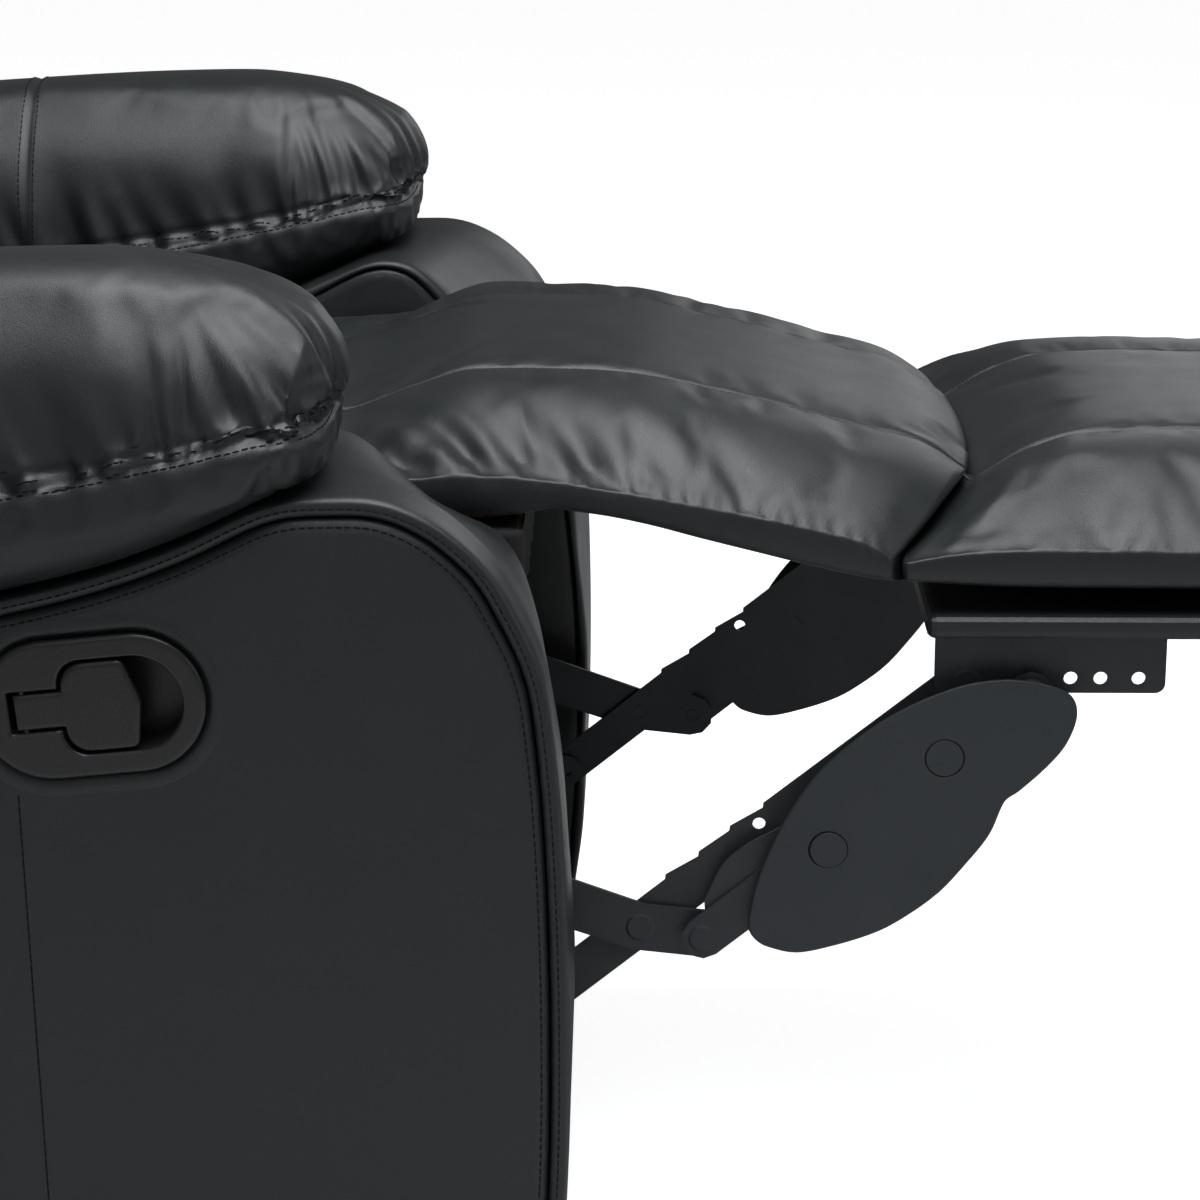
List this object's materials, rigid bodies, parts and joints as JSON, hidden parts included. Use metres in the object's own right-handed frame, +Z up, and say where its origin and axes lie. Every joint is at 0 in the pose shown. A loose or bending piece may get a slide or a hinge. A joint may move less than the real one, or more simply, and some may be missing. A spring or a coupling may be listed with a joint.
{
  "type": "recliner chair",
  "caption": "Recliner armchair with pillow arms, a fold-out footrest on a link mechanism, a reclining back and a release handle.",
  "frame": {"origin": "on the floor, under the middle of the chair's box", "axes": "+Z up, -Y the way the chair faces, towards the footrest's toe, +X the occupant's left, away from the handle"},
  "size_m": [0.9052, 1.3782, 1.0206],
  "materials": {
    "black_leather": "fine-grained, satin",
    "black_steel": "matte powder coat",
    "black_plastic": "satin, fine texture",
    "plywood": "raw",
    "pine": "raw",
    "spring_steel": "drawn wire",
    "foot_plastic": "smooth"
  },
  "bodies": {
    "base": {"arm_frame_l": "plywood", "arm_frame_r": "plywood", "arm_front_band_l": "black_leather", "arm_front_band_r": "black_leather", "arm_pillow_l": "black_leather", "arm_pillow_r": "black_leather", "outer_side_panel_l": "black_leather", "outer_side_panel_r": "black_leather", "inner_side_panel_l": "black_leather", "inner_side_panel_r": "black_leather", "base_side_rail_l": "pine", "base_side_rail_r": "pine", "front_cross_rail": "black_steel", "rear_cross_rail": "pine", "rear_skirt": "black_leather", "glide_foot_front_l": "foot_plastic", "glide_foot_front_r": "foot_plastic", "glide_foot_rear_l": "foot_plastic", "glide_foot_rear_r": "foot_plastic", "handle_cup": "black_plastic", "paddle_pin": "black_steel", "hinge_bracket_l": "black_steel", "hinge_bracket_r": "black_steel", "mechanism_side_plate_l": "black_steel", "mechanism_side_plate_r": "black_steel", "seat_front_rail": "pine", "seat_rear_rail": "pine", "seat_side_rail_l": "pine", "seat_side_rail_r": "pine", "seat_spring_1": "spring_steel", "seat_spring_2": "spring_steel", "seat_spring_3": "spring_steel", "seat_cushion": "black_leather", "chaise_pad": "black_leather"},
    "front_links": {"front_link_l": "black_steel", "front_link_r": "black_steel"},
    "long_links": {"long_link_l": "black_steel", "long_link_r": "black_steel"},
    "cover_links": {"cover_link_l": "black_steel", "cover_link_r": "black_steel", "guard_plate_l": "black_steel", "guard_plate_r": "black_steel"},
    "rear_links": {"rear_link_l": "black_steel", "rear_link_r": "black_steel", "torque_tube": "black_steel"},
    "footrest": {"footrest_pad": "black_leather", "footrest_board": "black_leather", "ottoman_bracket_l": "black_steel", "ottoman_bracket_r": "black_steel"},
    "backrest": {"back_upright_l": "pine", "back_upright_r": "pine", "back_bottom_rail": "pine", "back_top_rail": "pine", "back_rear_panel": "black_leather", "lumbar_pillow": "black_leather", "middle_pillow": "black_leather", "head_pillow": "black_leather", "back_wing_l": "black_leather", "back_wing_r": "black_leather"},
    "handle": {"handle_paddle": "black_plastic"}
  },
  "joints": [
    {"name": "footrest_fold", "type": "hinge", "parent": "base", "child": "front_links", "pos_m": [0, -0.04606, 0.251], "axis": [1, 0, 0], "range_deg": [0, 86], "deforming": ["chaise_pad"]},
    {"name": "long_link_turn", "type": "hinge", "parent": "front_links", "child": "long_links", "pos_m": [0, -0.15706, 0.212], "axis": [1, 0, 0], "range_deg": [-128, 0]},
    {"name": "cover_link_turn", "type": "hinge", "parent": "front_links", "child": "cover_links", "pos_m": [0, -0.19486, 0.208], "axis": [1, 0, 0], "range_deg": [-128, 0]},
    {"name": "footrest_turn", "type": "hinge", "parent": "long_links", "child": "footrest", "pos_m": [0, -0.35026, 0.369], "axis": [1, 0, 0], "range_deg": [0, 128]},
    {"name": "rear_link_turn", "type": "hinge", "parent": "base", "child": "rear_links", "pos_m": [0, -0.01346, 0.159], "axis": [1, 0, 0], "range_deg": [0, 102]},
    {"name": "recline", "type": "hinge", "parent": "base", "child": "backrest", "pos_m": [0, 0.45794, 0.33], "axis": [-1, 0, 0], "range_deg": [0, 38]},
    {"name": "paddle_pull", "type": "hinge", "parent": "base", "child": "handle", "pos_m": [-0.4273, 0.17092, 0.41873], "axis": [0, -0.0958, -0.9954], "range_deg": [0, 30], "stiffness_Nm_per_rad": 0.5}
  ],
  "couplings": [
    {"joint": "long_link_turn", "follows": "footrest_fold", "ratio": -1.4767},
    {"joint": "cover_link_turn", "follows": "footrest_fold", "ratio": -1.4767},
    {"joint": "footrest_turn", "follows": "footrest_fold", "ratio": 1.4767},
    {"joint": "rear_link_turn", "follows": "footrest_fold", "ratio": 1.1777}
  ]
}
